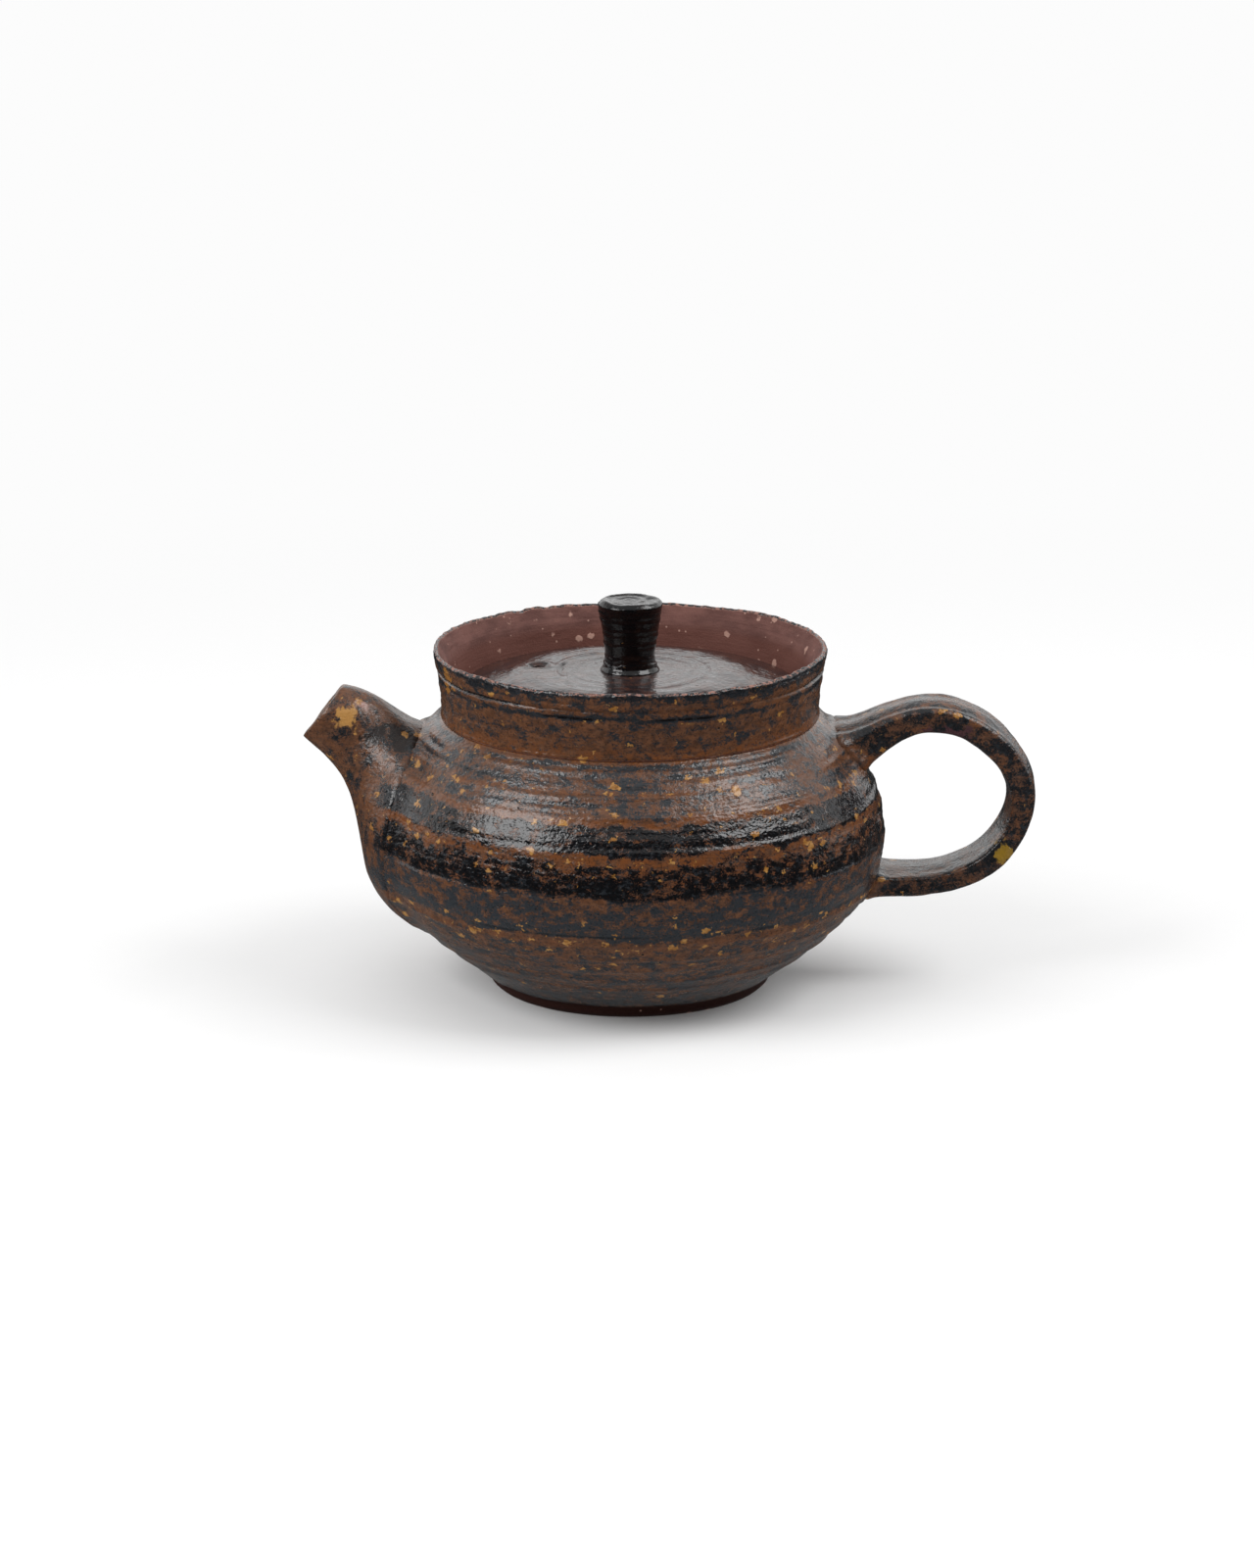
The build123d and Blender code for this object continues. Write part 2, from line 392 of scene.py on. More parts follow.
def belly_skin(p, turned, outside):
    """How far the belly's outside stands off the turned outline."""
    lumps = 0.20 * noise(p, 24, 5) + 0.11 * noise(p, 7, 6) + 0.07 * noise(p, (3.4, 3.4, 2.0), 7)
    lines = scored(turned.z, p, BELLY_LINES, 0.34, BELLY_LINE_SEED)
    skin = throwing(turned.z, turned.t, p, BELLY_RIDGES, 40) + lumps - 0.10 - lines
    # The foot band is a turned step under the glaze, which stops just above it.
    glaze_end = FOOT_BAND + 0.25 * noise(p, (6, 6, 90), 8)
    skin -= FOOT_STEP * (1 - smoothstep(turned.z, glaze_end - 0.25, glaze_end + 0.35))
    skin += root_marks(p, outside)
    # The wall behind the handle is left lumpy, where a tool couldn't reach.
    behind = smoothstep(p[:, 0], 44, 49) * smoothstep(turned.z, 20, 26) * (1 - smoothstep(turned.z, 40, 46))
    return skin + behind * 0.30 * noise(p, (3, 3, 2.6), 10)


def make_body_mesh():
    tree = cad_tree("body")
    outline, outer_count = belly_outline(tree)
    turned = Turned(outline, ROUND_BODY)
    p = turned.points()
    outside = np.repeat(np.arange(turned.ring) < outer_count, turned.steps)
    top = box_mm("body")[1].z
    wall = smoothstep(turned.z, 0.4, 2.4) * (1 - smoothstep(turned.z, top - 0.5, top))
    outer = belly_skin(p, turned, outside) * np.maximum(wall, 0.12 * (turned.z > 0.05))
    finger_rings = 0.30 * np.sin(TAU * turned.z / 4.6 - turned.t) + 0.12 * noise(p, 6, 11)
    inner = smoothstep(turned.z, 5.5, 9) * (1 - smoothstep(turned.z, top - 6, top - 3))
    turned.push(np.where(outside, outer, finger_rings * inner * 0.8))
    mesh = turned.build("body")
    strainer_low, strainer_high = box_mm("strainer")
    hole_z = (strainer_low.z + strainer_high.z) / 2
    mesh = cut(mesh, WALL_HOLE_RADIUS, (-WALL_HOLE_OUT, 0, hole_z), (1, 0, 0), WALL_HOLE_LENGTH)
    mark_body(mesh, outline[:outer_count])
    return mesh


def mark_body(mesh, outer_line):
    """Marks the foot and the inside as bare clay, and the scored lines as pools of glaze, darkened with
    painted groove shade.
    """
    q = coordinates(mesh)
    radius = np.hypot(q[:, 0], q[:, 1])
    foot = 1 - smoothstep(q[:, 2], 2.3, 2.9)
    inside = radius < np.interp(q[:, 2], outer_line[:, 1], outer_line[:, 0]) - 1.6
    mark(mesh, "bare", np.maximum(foot, inside))
    # The scored lines darken the glaze: pooled glaze, with painted shade for the grooves.
    mark(mesh, "pool_and_groove_shade", scored(q[:, 2], q, BELLY_LINES, 0.30, BELLY_LINE_SEED) / LINE_FULL)


# ---- the collar

LIP_THICKNESS = 1.0
LIP_FALL = 3.2
# Radius of the circle that the lip's waves are drawn round
LIP_TURN = 35
# How bare the lip is where the glaze has worn half through, between 0 for glazed and 1 for bare
HALF_WORN = 0.47
# Turned ridges on the collar: (height above its foot, rise, half-width)
COLLAR_RIDGES = [(3.4, 0.10, 0.5), (6.9, 0.14, 0.5), (9.0, 0.12, 0.35), (10.9, 0.12, 0.4), (12.2, 0.10, 0.4)]


def collar_lip(outer, top, inner):
    """The lip, drawn out thin: round on top, with its inner side sloping back to the wall."""
    radius = LIP_THICKNESS / 2
    crest_r = outer[0] - radius
    crest_z = top - radius
    turn = np.linspace(0, math.radians(150), 8)
    return [outer, *((crest_r + radius * math.cos(a), crest_z + radius * math.sin(a)) for a in turn), inner]


def collar_outline(tree):
    """Closed outline: up the outside, over the rim, down inside to the ledge and back underneath."""
    low, high = box_mm("neck_collar")
    bore = wall_radius(tree, low.z + 1.0, inside=True)
    ledge_z = surface_height(tree, bore + 0.5)
    outer = [(wall_radius(tree, z), z) for z in np.arange(low.z + 0.05, high.z - 1.35, 0.1)]
    heights = np.arange(high.z - LIP_FALL, ledge_z + 0.1, -0.2)
    inner = [(wall_radius(tree, z, inside=True), z) for z in heights]
    lip = collar_lip(outer[-1], high.z, inner[0])
    under = [(bore, low.z), (outer[0][0], low.z)]
    ledge = [inner[-1], (inner[-1][0], ledge_z), (bore, ledge_z)]
    down = [(bore, ledge_z), (bore, low.z)]
    outline, ends = joined((under, 1.2), (outer, 0.28), (lip, 0.28), (inner, 0.5), (ledge, 0.8), (down, 1.0))
    return outline[:-1], ends[:4]


def collar_skin(p, turned, up):
    """How far the collar's outside stands off the turned outline, and the depth of its scored lines."""
    base = box_mm("neck_collar")[0].z
    ridges = [(base + height, rise, half) for height, rise, half in COLLAR_RIDGES]
    skin = throwing(turned.z, turned.t, p, ridges, 70)
    skin += 0.16 * noise(p, 13, 71) + 0.08 * noise(p, (4, 4, 2.2), 72)
    lines = scored(turned.z, p, COLLAR_LINES, 0.26, COLLAR_LINE_SEED)
    skin -= lines
    skin *= smoothstep(up, 0.1, 0.9)
    # Slip smoothed along the joint with the belly rounds off the corner.
    skin += 0.3 * np.clip(1 - up / 2.2, 0, 1) ** 2
    return skin - 0.06, lines


def waver_lip(turned, p, top):
    """Bends the lip up, down, in and out round the mouth, and knocks small chips out of it."""
    near_rim = smoothstep(turned.z, top - 5.0, top)
    crest = smoothstep(turned.z, top - 1.6, top - 0.2)
    around = np.stack([LIP_TURN * np.cos(turned.t), LIP_TURN * np.sin(turned.t), np.zeros(len(p))], 1)
    waves = 0.30 * np.cos(2 * turned.t) - 0.10 + 0.26 * noise(around, 14, 80) + 0.10 * noise(around, 4.5, 81)
    waves += 0.09 * noise(around, 1.9, 82)
    chips = np.clip(noise(around, 2.6, 83) - 0.55, 0, 1) * 0.8
    turned.z += near_rim * waves - crest * chips
    turned.z += crest * 0.10 * noise(p, 0.9, 84)
    sway = 0.22 * noise(around, 15, 85) + 0.08 * noise(around, 4.5, 86)
    turned.r += near_rim * sway + crest * 0.15 * noise(p, 0.9, 87)


def make_collar_mesh():
    tree = cad_tree("neck_collar")
    low, high = box_mm("neck_collar")
    outline, (start, outer_end, rim_end, inner_end) = collar_outline(tree)
    turned = Turned(outline, ROUND_COLLAR, closed=True)
    p = turned.points()
    row = np.repeat(np.arange(turned.ring), turned.steps)
    outside = (row >= start) & (row < outer_end + 5)
    inside = (row > rim_end - 4) & (row < inner_end)
    skin, lines = collar_skin(p, turned, turned.z - low.z)
    turned.push(np.where(outside, skin, np.where(inside, 0.14 * noise(p, (9, 9, 4), 77), 0)))
    waver_lip(turned, p, high.z)
    mesh = turned.build("neck_collar")
    bare = np.where(row >= outer_end + 8, 1.0, np.where(row >= outer_end + 3, HALF_WORN, 0.0))
    mark(mesh, "bare", np.where(row < start, 1.0, bare))
    # The scored lines darken the glaze: pooled glaze, with painted shade for the grooves.
    mark(mesh, "pool_and_groove_shade", lines / LINE_FULL)
    return mesh


# ---- the lid and its knob

STEAM_RADIUS = 1.35
STEAM_OUT = 18.3
STEAM_ANGLE = math.radians(168)
STEAM_X = STEAM_OUT * math.cos(STEAM_ANGLE)
STEAM_Y = STEAM_OUT * math.sin(STEAM_ANGLE)
# The tool that pokes the steam hole: the height of its middle, its length and its lean by hand
STEAM_MIDDLE = 60
STEAM_LENGTH = 16
STEAM_LEAN = (0.03, 0.02, 1)
# Turned rings on the lid: (radius, rise, half-width)
LID_RINGS = [
    (8.0, 0.10, 0.6),
    (11.2, 0.14, 0.5),
    (14.7, 0.26, 0.45),
    (17.4, 0.10, 0.7),
    (22.6, 0.14, 0.8),
    (27.2, 0.12, 0.7),
]
KNOB_RIBS = (1.5, 2.9, 4.6, 5.6, 7.4, 8.6, 10.4, 11.6)
SCORE = {"radius": 13.6, "depth": 0.6, "angle": math.radians(178), "half": math.radians(24)}


def flange_outline(tree, start):
    """The flange under the lid that centres it, from its outer corner down, across and up again."""
    low = box_mm("lid")[0].z
    outer_r = wall_radius(tree, low + 1.0)
    inner_r = wall_radius(tree, low + 1.0, inside=True)
    return [
        start,
        (outer_r, start[1]),
        (outer_r, low + 0.5),
        (outer_r - 0.5, low),
        (inner_r + 0.5, low),
        (inner_r, low + 0.5),
        (inner_r, start[1] + 0.4),
    ]


def lid_outline(tree):
    """Outline from the middle of the top, out over the edge, round the flange and back under."""
    edge_r = box_mm("lid")[1].x
    edge_low = surface_height(tree, edge_r - 1.0, above=False)
    top = [(r, surface_height(tree, r)) for r in np.arange(0.05, edge_r - 0.92, 0.25)]
    top[0] = (0, top[0][1])
    edge = [
        top[-1],
        (edge_r - 0.35, top[-1][1] - 0.25),
        (edge_r, top[-1][1] - 0.85),
        (edge_r, edge_low + 0.6),
        (edge_r - 0.4, edge_low),
    ]
    flange = flange_outline(tree, edge[-1])
    radii = np.arange(flange[-1][0] - 0.3, 0.3, -0.8)
    under = [(r, surface_height(tree, r, above=False)) for r in radii]
    below = [flange[-1], *under, (0, surface_height(tree, 2.0, above=False))]
    outline, ends = joined((top, STEP_FINE), (edge, 0.3), (flange, 0.9), (below, STEP_COARSE))
    return outline, ends[0]


def lid_skin(p, turned):
    """How far the lid's top stands above the turned outline."""
    waver = 0.35 * noise(p, 12, 90) + 0.5 * np.sin(turned.t)
    rings = np.zeros(len(p))
    for k, (radius, rise, half) in enumerate(LID_RINGS):
        strength = 0.7 + 0.6 * noise(p, (10, 10, 10), 91 + k)
        rings += 0.7 * rise * strength * bump(turned.r + waver, radius, half)
    fine = 0.02 * np.sin(TAU * (turned.r + waver) / 1.3 - turned.t)
    skin = rings + fine + 0.14 * noise(p, 9, 97) + 0.06 * noise(p, 3, 98)
    # One of the rings is scored deeper for a short way, on the steam hole's side of the knob.
    arc = smoothstep(np.cos(turned.t - SCORE["angle"]), math.cos(SCORE["half"]), 1.0)
    skin -= SCORE["depth"] * arc * bump(turned.r, SCORE["radius"], 0.3)
    # The clay dips into the steam hole, with a low burr round it.
    reach = np.hypot(p[:, 0] - STEAM_X, p[:, 1] - STEAM_Y)
    skin -= 0.55 * (1 - smoothstep(reach, STEAM_RADIUS - 0.1, STEAM_RADIUS + 1.0))
    skin += 0.12 * bump(reach, STEAM_RADIUS + 1.4, 0.5)
    return skin * (1 - smoothstep(turned.r, 31.0, 31.9))


def make_lid_mesh():
    outline, top_count = lid_outline(cad_tree("lid"))
    turned = Turned(outline, ROUND_LID)
    on_top = np.repeat(np.arange(turned.ring) < top_count, turned.steps)
    turned.z += np.where(on_top, lid_skin(turned.points(), turned), 0)
    mesh = turned.build("lid")
    mesh = cut(mesh, STEAM_RADIUS, (STEAM_X, STEAM_Y, STEAM_MIDDLE), STEAM_LEAN, STEAM_LENGTH)
    mark_lid(mesh, outline[:top_count])
    return mesh


def mark_lid(mesh, top_line):
    """Marks the lid's edge and underside as bare clay."""
    q = coordinates(mesh)
    radius = np.hypot(q[:, 0], q[:, 1])
    edge_r = box_mm("lid")[1].x
    below = np.interp(radius, top_line[:, 0], top_line[:, 1]) - q[:, 2]
    mark(mesh, "bare", np.maximum(smoothstep(below, 0.9, 1.6), smoothstep(radius, edge_r - 0.6, edge_r)))


def knob_outline(tree):
    """Outline from the middle of the knob's root, up its side and in over its crown."""
    low, high = box_mm("lid_knob")
    side = [(wall_radius(tree, z), z) for z in np.arange(low.z + 0.05, high.z - 1.0, 0.1)]
    crown = [(r, surface_height(tree, r)) for r in np.arange(high.x - 0.5, 0.1, -0.25)]
    root = (side[0][0] + 0.2, low.z - 0.3)
    top = [side[-1], (high.x - 0.02, high.z - 0.8), *crown, (0, crown[-1][1])]
    return joined(([(0, low.z - 0.3), root], 0.9), ([root, *side], 0.24), (top, 0.24))[0]


def knob_skin(p, up):
    """How far the knob's ribbed side stands off the turned outline."""
    waver = 0.45 * noise(p, (4, 4, 30), 110)
    ribs = np.zeros(len(p))
    for k, height in enumerate(KNOB_RIBS):
        strength = 0.6 + 0.8 * noise(p, (6, 6, 30), 111 + k)
        above = up + waver - height
        ribs += 0.19 * strength * np.exp(-((above / np.where(above > 0, 0.22, 0.7)) ** 2))
    on_side = smoothstep(up, 0.4, 1.2) * (1 - smoothstep(up, 12.6, 13.4))
    base_flare = 0.30 * (1 - smoothstep(up, 0.0, 1.1))
    return (ribs - 0.05) * on_side + base_flare + 0.08 * noise(p, 3, 120) * on_side


def make_knob_mesh():
    turned = Turned(knob_outline(cad_tree("lid_knob")), ROUND_KNOB)
    p = turned.points()
    up = turned.z - box_mm("lid_knob")[0].z
    turned.push(knob_skin(p, up))
    on_top = smoothstep(up, 13.0, 13.5)
    spiral = 0.06 * np.sin(TAU * turned.r / 1.9 - turned.t) * smoothstep(turned.r, 0.6, 1.6)
    turned.z += on_top * (spiral + 0.14 * noise(p, 2.2, 121))
    turned.r += smoothstep(up, 10.5, 13.0) * 0.16 * noise(p, 3.5, 122) * (turned.r > 1)
    return turned.build("lid_knob")


# ---- pieces formed by hand

# How far up a luted piece the belly's bands of glaze run, in millimetres
ROOT_REACH = 4.5
# From the handle's outer end in to the middle of its loop
LOOP_REACH = 20.0


def clay_copy(node, smoothing=4):
    """A dense, evenly meshed copy of a CAD node, softened as fired clay is."""
    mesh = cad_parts[node].data.copy()
    finish_mesh(mesh)
    holder = in_scene("clay_copy", mesh)
    remesh = holder.modifiers.new("remesh", "REMESH")
    remesh.mode = "VOXEL"
    remesh.voxel_size = VOXEL * MM
    result = applied(holder)
    bpy.data.objects.remove(holder)
    relax(result, smoothing)
    result.shade_smooth()
    return result


def relax(mesh, rounds):
    """Draws each point towards the mean of its neighbours."""
    edges = np.zeros(len(mesh.edges) * 2, np.int64)
    mesh.edges.foreach_get("vertices", edges)
    a, b = edges.reshape(-1, 2).T
    count = len(mesh.vertices)
    degree = np.bincount(a, minlength=count) + np.bincount(b, minlength=count)
    p = coordinates(mesh)
    for _ in range(rounds):
        mean = np.zeros_like(p)
        for axis in range(3):
            mean[:, axis] = np.bincount(a, p[b, axis], count) + np.bincount(b, p[a, axis], count)
        p += 0.5 * (mean / np.maximum(degree, 1)[:, None] - p)
    write_coordinates(mesh, p)


def normals(mesh):
    n = np.zeros(len(mesh.vertices) * 3)
    mesh.vertices.foreach_get("normal", n)
    return n.reshape(-1, 3)


def swell(mesh, p, skin):
    """Moves each point of a mesh, now at p, out along its normal."""
    write_coordinates(mesh, p + normals(mesh) * skin[:, None])


def closeness(node, points, reach):
    """For each point, how close it is to a CAD node: 1 on its surface, 0 from reach millimetres away."""
    tree = cad_tree(node)
    low, high = box_mm(node)
    near = ((points > np.array(low) - reach) & (points < np.array(high) + reach)).all(1)
    result = np.zeros(len(points))
    for i in np.nonzero(near)[0]:
        distance = tree.find_nearest(Vector(points[i]), reach)[3]
        if distance is not None:
            result[i] = 1 - distance / reach
    return result


def lute(mesh, reach, flare):
    """Beds a hand-formed piece in the belly's wall, and spreads its foot where slip was smoothed on."""
    tree = cad_tree("body")
    p = coordinates(mesh)
    n = normals(mesh)
    out = p.copy()
    for i, point in enumerate(p):
        near, belly_normal, _, distance = tree.find_nearest(Vector(point), reach)
        if near is None:
            continue
        away = np.array(belly_normal)
        facing = smoothstep(n[i] @ away, -0.8, -0.3)
        spread = flare * (1 - distance / reach) ** 2 * facing
        sink = 1.5 * max(0.0, 1 - distance / 0.7)
        out[i] = point + n[i] * spread - away * sink
    write_coordinates(mesh, out)


def mark_root(mesh):
    """Marks how near a luted piece is to the belly, where the belly's bands of glaze run on over it."""
    mark(mesh, "root", smoothstep(closeness("body", coordinates(mesh), ROOT_REACH), 0.1, 0.9))


def facing_out(p, n):
    """How far each point of the strap faces out of the loop: 1 on its back, -1 on its inner face."""
    low, high = box_mm("handle")
    away = p - np.array([high.x - LOOP_REACH, 0, (low.z + high.z) / 2])
    away[:, 1] = 0
    away /= np.maximum(np.linalg.norm(away, axis=1), 1e-6)[:, None]
    return np.clip((n * away).sum(1), -1, 1)


def strap_skin(p, outer):
    """How far the strap's marks from pulling stand off its smooth faces."""
    # Pulling leaves a spine along the strap's back, with a shallow channel each side of it.
    drift = 0.9 * noise(p, (16, 60, 16), 130)
    spine = 0.42 * bump(p[:, 1] + drift, -1.2, 2.2) - 0.30 * bump(p[:, 1] + drift, -4.9, 0.9)
    spine -= 0.22 * bump(p[:, 1] + drift, 3.4, 1.2)
    inner = 0.25 * bump(p[:, 1], 0.5, 3.0)
    along = spine * smoothstep(outer, 0.3, 0.8) + inner * smoothstep(-outer, 0.3, 0.8)
    # Each edge has a groove run along it by the fingers, and a bead between it and the inner face.
    on_edge = smoothstep(np.abs(p[:, 1]), 5.2, 6.4)
    along += on_edge * (0.22 * bump(outer, -0.62, 0.22) - 0.34 * bump(outer, -0.12, 0.30))
    lumps = 0.28 * noise(p, (11, 14, 11), 131) + 0.12 * noise(p, (4, 9, 4), 132) + 0.05 * noise(p, 1.8, 133)
    return along + lumps


def make_handle_mesh():
    mesh = clay_copy("handle")
    p = coordinates(mesh)
    swell(mesh, p, strap_skin(p, facing_out(p, normals(mesh))))
    lute(mesh, 2.6, 0.7)
    relax(mesh, 2)
    mark_root(mesh)
    return mesh


def make_spout_mesh():
    mesh = clay_copy("spout")
    p = coordinates(mesh)
    swell(mesh, p, 0.26 * noise(p, 12, 140) + 0.12 * noise(p, 4.5, 141) + 0.05 * noise(p, 1.9, 142))
    lute(mesh, 4.5, 1.2)
    relax(mesh, 2)
    mark_root(mesh)
    return mesh


def make_strainer_mesh():
    mesh = clay_copy("strainer", smoothing=2)
    p = coordinates(mesh)
    swell(mesh, p, 0.10 * noise(p, 3, 150))
    mark(mesh, "bare", np.ones(len(p)))
    return mesh


# ---- materials

class Graph:
    """A short way to write a node tree."""

    def __init__(self, tree):
        self.tree = tree
        tree.nodes.clear()

    def node(self, kind, inputs=None, **settings):
        node = self.tree.nodes.new(kind)
        for key, value in settings.items():
            setattr(node, key, value)
        for key, value in (inputs or {}).items():
            self.plug(value, node.inputs[key])
        return node

    def plug(self, value, socket):
        if isinstance(value, bpy.types.NodeSocket):
            self.tree.links.new(value, socket)
        else:
            socket.default_value = value

    def math(self, operation, *values):
        return self.node("ShaderNodeMath", dict(enumerate(values)), operation=operation).outputs[0]

    def add(self, *values):
        total = values[0]
        for value in values[1:]:
            total = self.math("ADD", total, value)
        return total

    def times(self, a, b):
        return self.math("MULTIPLY", a, b)

    def step(self, value, low, high, bottom=0.0, top=1.0):
        """Goes smoothly from bottom to top as the value goes from low to high."""
        inputs = {"Value": value, "From Min": low, "From Max": high, "To Min": bottom, "To Max": top}
        return self.node("ShaderNodeMapRange", inputs, interpolation_type="SMOOTHSTEP").outputs[0]

    def mix(self, factor, a, b):
        """Mixes two colours."""
        a, b = ((*colour, 1.0) if isinstance(colour, tuple) else colour for colour in (a, b))
        return self.node("ShaderNodeMix", {0: factor, 6: a, 7: b}, data_type="RGBA").outputs[2]

    def blend(self, factor, a, b):
        """Mixes two numbers."""
        return self.node("ShaderNodeMix", {0: factor, 2: a, 3: b}, data_type="FLOAT").outputs[0]

    def vector_math(self, operation, *values, output=0):
        return self.node("ShaderNodeVectorMath", dict(enumerate(values)), operation=operation).outputs[output]

    def stretch(self, vector, x, y, z):
        """Scales coordinates, so that features come out x, y and z millimetres across."""
        return self.vector_math("DIVIDE", vector, (x, y, z))

    def shift(self, vector, x, y, z):
        return self.vector_math("ADD", vector, (x, y, z))

    def noise(self, vector, detail=3.0, roughness=0.55):
        inputs = {"Vector": vector, "Scale": 1.0, "Detail": detail, "Roughness": roughness}
        return self.node("ShaderNodeTexNoise", inputs).outputs[0]

    def cells(self, vector):
        """Distance to the nearest of scattered points, and two random numbers for that point."""
        node = self.node("ShaderNodeTexVoronoi", {"Vector": vector, "Scale": 1.0})
        split = self.node("ShaderNodeSeparateColor", {"Color": node.outputs["Color"]})
        return node.outputs["Distance"], split.outputs[0], split.outputs[1]

    def warp(self, vector, size, amount):
        """Moves coordinates about by up to amount millimetres, so that what is drawn there is ragged."""
        inputs = {"Vector": self.stretch(vector, size, size, size), "Scale": 1.0, "Detail": 3.0}
        drift = self.node("ShaderNodeTexNoise", inputs)
        centred = self.shift(drift.outputs["Color"], -0.5, -0.5, -0.5)
        return self.vector_math("MULTIPLY_ADD", centred, (amount * 2,) * 3, vector)

    def attribute(self, name):
        """The number that mark() stored under this name, or 0 where a mesh has none."""
        return self.node("ShaderNodeAttribute", attribute_name=name).outputs["Fac"]

    def height(self, vector):
        return self.node("ShaderNodeSeparateXYZ", {"Vector": vector}).outputs[2]

    def ramp(self, factor, stops):
        """Colour and alpha along a list of (position, colour, alpha)."""
        node = self.node("ShaderNodeValToRGB", {"Fac": factor})
        ramp = node.color_ramp
        while len(ramp.elements) < len(stops):
            ramp.elements.new(0.5)
        for element, (at, colour, alpha) in zip(ramp.elements, stops):
            element.position = at
            element.color = (*colour, alpha)
        return node.outputs[0], node.outputs[1]


def new_material(name):
    """An empty node material and the graph to fill it."""
    material = bpy.data.materials.new(name)
    material.use_nodes = True
    return material, Graph(material.node_tree)


# Fired colours, as linear red, green and blue
IRON = {
    "brown": (0.136, 0.059, 0.029),
    "umber": (0.064, 0.031, 0.018),
    "rust": (0.150, 0.050, 0.015),
    "slate": (0.028, 0.033, 0.039),
    "black": (0.0035, 0.0038, 0.0048),
}
LID = {
    "brown": (0.062, 0.027, 0.020),
    "umber": (0.042, 0.020, 0.016),
    "rust": (0.070, 0.022, 0.012),
    "slate": (0.028, 0.022, 0.024),
    "black": (0.0090, 0.0062, 0.0065),
}
KNOB = {
    "brown": (0.0060, 0.0036, 0.0028),
    "umber": (0.0035, 0.0022, 0.0020),
    "rust": (0.0140, 0.0050, 0.0030),
    "slate": (0.0030, 0.0032, 0.0040),
    "black": (0.0015, 0.0015, 0.0018),
}
OCHRE = (0.420, 0.215, 0.060)
OCHRE_DEEP = (0.270, 0.115, 0.022)
HOLE_BLACK = (0.006, 0.005, 0.005)
CLAY = (0.178, 0.080, 0.066)
CLAY_DARK = (0.112, 0.048, 0.040)
CLAY_RED = (0.120, 0.042, 0.030)
CLAY_SPECK = (0.500, 0.300, 0.240)
CLAY_CHIP = (0.300, 0.160, 0.130)
# The foot band's own dark red-brown clay, darkened further with painted shade where the pot meets the floor
FOOT_CLAY_SHADED = (0.034, 0.0085, 0.0050)

# The glaze lies in turned bands: (height, darkness, ochre flakes, rust, depth of the dark colour)
BANDS = [
    (0.0, 0.60, 0.0, 0.0, 0.5),
    (4.0, 0.66, 0.0, 0.1, 0.3),
    (8.0, 0.50, 0.2, 0.1, 0.2),
    (13.0, 0.42, 0.2, 0.2, 0.2),
    (19.6, 0.42, 0.7, 0.2, 0.2),
    (20.5, 0.20, 1.0, 0.5, 0.1),
    (21.9, 0.22, 1.0, 0.3, 0.1),
    (22.4, 0.68, 0.7, 0.1, 0.2),
    (24.5, 0.62, 0.2, 0.1, 0.1),
    (29.6, 0.52, 0.1, 0.3, 0.2),
    (30.2, 0.40, 0.2, 0.4, 0.5),
    (30.9, 0.82, 0.3, 0.8, 1.0),
    (36.2, 0.64, 0.6, 0.9, 1.0),
    (37.4, 0.25, 0.9, 1.0, 0.8),
    (38.4, 0.30, 0.8, 1.0, 0.8),
    (39.0, 0.84, 0.3, 0.7, 1.0),
    (43.2, 0.74, 0.5, 0.7, 1.0),
    (44.0, 0.12, 0.9, 1.0, 0.3),
    (44.9, 0.30, 0.6, 0.7, 0.2),
    (45.6, 0.46, 0.6, 0.4, 0.3),
    (48.2, 0.42, 0.7, 0.3, 0.2),
    (48.6, 0.22, 1.0, 0.8, 0.1),
    (49.4, 0.46, 0.6, 0.3, 0.3),
    (53.2, 0.44, 0.6, 0.4, 0.2),
    (53.8, 0.06, 0.3, 1.0, 0.2),
    (55.0, 0.22, 0.2, 0.9, 0.2),
    (57.0, 0.38, 0.3, 0.3, 0.3),
    (61.3, 0.34, 0.4, 0.3, 0.3),
    (62.0, 0.78, 0.2, 0.3, 0.5),
    (63.0, 0.34, 0.4, 0.5, 0.3),
    (65.4, 0.44, 0.3, 0.3, 0.4),
    (66.6, 0.82, 0.1, 0.3, 0.7),
]
BAND_TOP = 68.0
BAND_GRAIN = (2.7, 2.7, 1.7)


def banded_levels(g, mm):
    """Darkness, ochre, rust and depth at each height, on lines that wander a little."""
    wander = g.times(g.add(g.noise(g.stretch(mm, 14, 14, 36), 2.0), -0.5), 3.2)
    ripple = g.times(g.add(g.noise(g.stretch(mm, 4, 4, 5), 3.0), -0.5), 1.6)
    height = g.add(g.height(mm), wander, ripple)
    stops = [(z / BAND_TOP, (dark, ochre, rust), depth) for z, dark, ochre, rust, depth in BANDS]
    colour, depth = g.ramp(g.math("DIVIDE", height, BAND_TOP), stops)
    parts = g.node("ShaderNodeSeparateColor", {"Color": colour})
    return parts.outputs[0], parts.outputs[1], parts.outputs[2], depth


def flakes(g, mm, amount, cell, least, most):
    """A mask of scattered angular flakes: each cell of space holds one, of its own size, or none."""
    ragged = g.warp(mm, 0.8, 1.3)
    distance, chance, size = g.cells(g.stretch(ragged, cell, cell, cell * 0.72))
    limit = g.add(least, g.times(size, most - least))
    here = g.step(g.add(chance, g.times(g.times(amount, amount), 0.74)), 0.975, 0.995)
    return g.times(g.step(g.math("SUBTRACT", distance, limit), 0.06, -0.05), here)


def patch(g, mm, colour, blotch, place, radius, patch_colour):
    """Lays one ragged patch of a colour over the glaze, about radius millimetres from its place."""
    away = g.vector_math("DISTANCE", mm, place, output="Value")
    near = g.add(away, g.times(g.add(blotch, -0.5), radius * 4.0))
    return g.mix(g.times(g.step(near, radius + 0.35, radius - 0.35), 0.9), colour, patch_colour)


